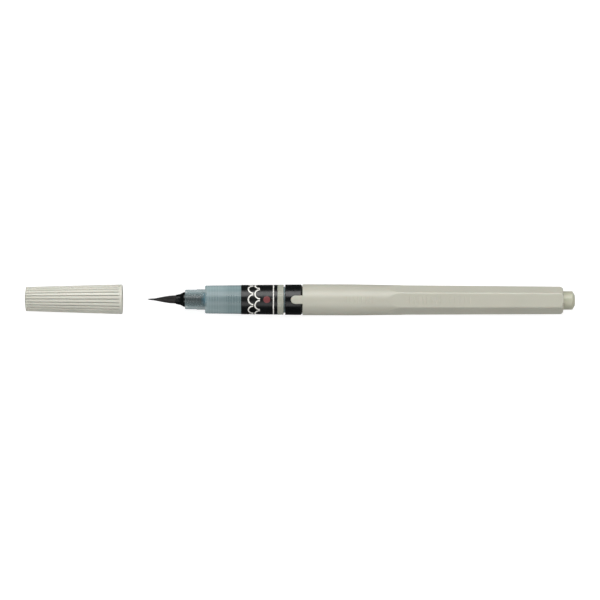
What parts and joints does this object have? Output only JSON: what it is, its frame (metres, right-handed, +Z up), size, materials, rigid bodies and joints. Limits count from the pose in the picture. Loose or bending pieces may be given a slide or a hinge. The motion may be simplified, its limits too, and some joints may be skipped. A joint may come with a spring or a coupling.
{
  "type": "brush pen",
  "caption": "Refillable squeeze-barrel brush pen with its ribbed cap pulled off: pointed tuft, clear grey section with a finned feed, screw joint and six-sided pale barrel.",
  "frame": {"origin": "on the surface the pen lies on, below the middle of the whole length with the cap off", "axes": "+X along the pen from the cap to the tail, +Z up, +Y to the pen's left seen from the cap"},
  "size_m": [0.2166, 0.0122, 0.0122],
  "materials": {
    "cap_plastic": "satin",
    "liner_plastic": "satin",
    "bristles": "wet bristle",
    "black_plastic": "polished",
    "smoky_clear": "smoky translucent plastic",
    "feed_plastic": "satin",
    "fibre": "ink-stained fibre",
    "label_film": "printed film",
    "ring_plastic": "satin",
    "seal_rubber": "matt",
    "barrel_plastic": "satin",
    "plug_plastic": "satin",
    "ink": "liquid"
  },
  "bodies": {
    "barrel_unit": {"barrel": "barrel_plastic", "thread_collar": "black_plastic", "metering_plug": "liner_plastic", "tail_plug": "plug_plastic", "ink_charge": "ink"},
    "seal": {"seal_washer": "seal_rubber"},
    "section": {"front_section": "smoky_clear", "label_sleeve": "label_film", "rim_ring": "ring_plastic", "ink_feed": "feed_plastic", "relay_wick": "fibre", "brush_ferrule": "black_plastic", "tuft_butt": "bristles"},
    "tuft": {"brush_tuft": "bristles"},
    "cap": {"cap_shell": "cap_plastic", "inner_cap": "liner_plastic"}
  },
  "joints": [
    {"name": "section_advance", "type": "slide", "parent": "barrel_unit", "child": "seal", "axis": [-1, 0, 0], "range_m": [0, 0.0045]},
    {"name": "section_turn", "type": "hinge", "parent": "seal", "child": "section", "pos_m": [-0.01, 0, 0.0061], "axis": [-1, 0, 0], "range_deg": [0, 1080]},
    {"name": "tuft_bend", "type": "hinge", "parent": "section", "child": "tuft", "pos_m": [-0.04888, 0, 0.0061], "axis": [0, 0, 1], "range_deg": [-15, 15], "stiffness_Nm_per_rad": 0.001},
    {"name": "cap_slide", "type": "slide", "parent": "section", "child": "cap", "axis": [1, 0, 0], "range_m": [0, 0.03247]}
  ],
  "couplings": [
    {"joint": "section_advance", "follows": "section_turn", "m_per_rad": 0.00023873}
  ]
}
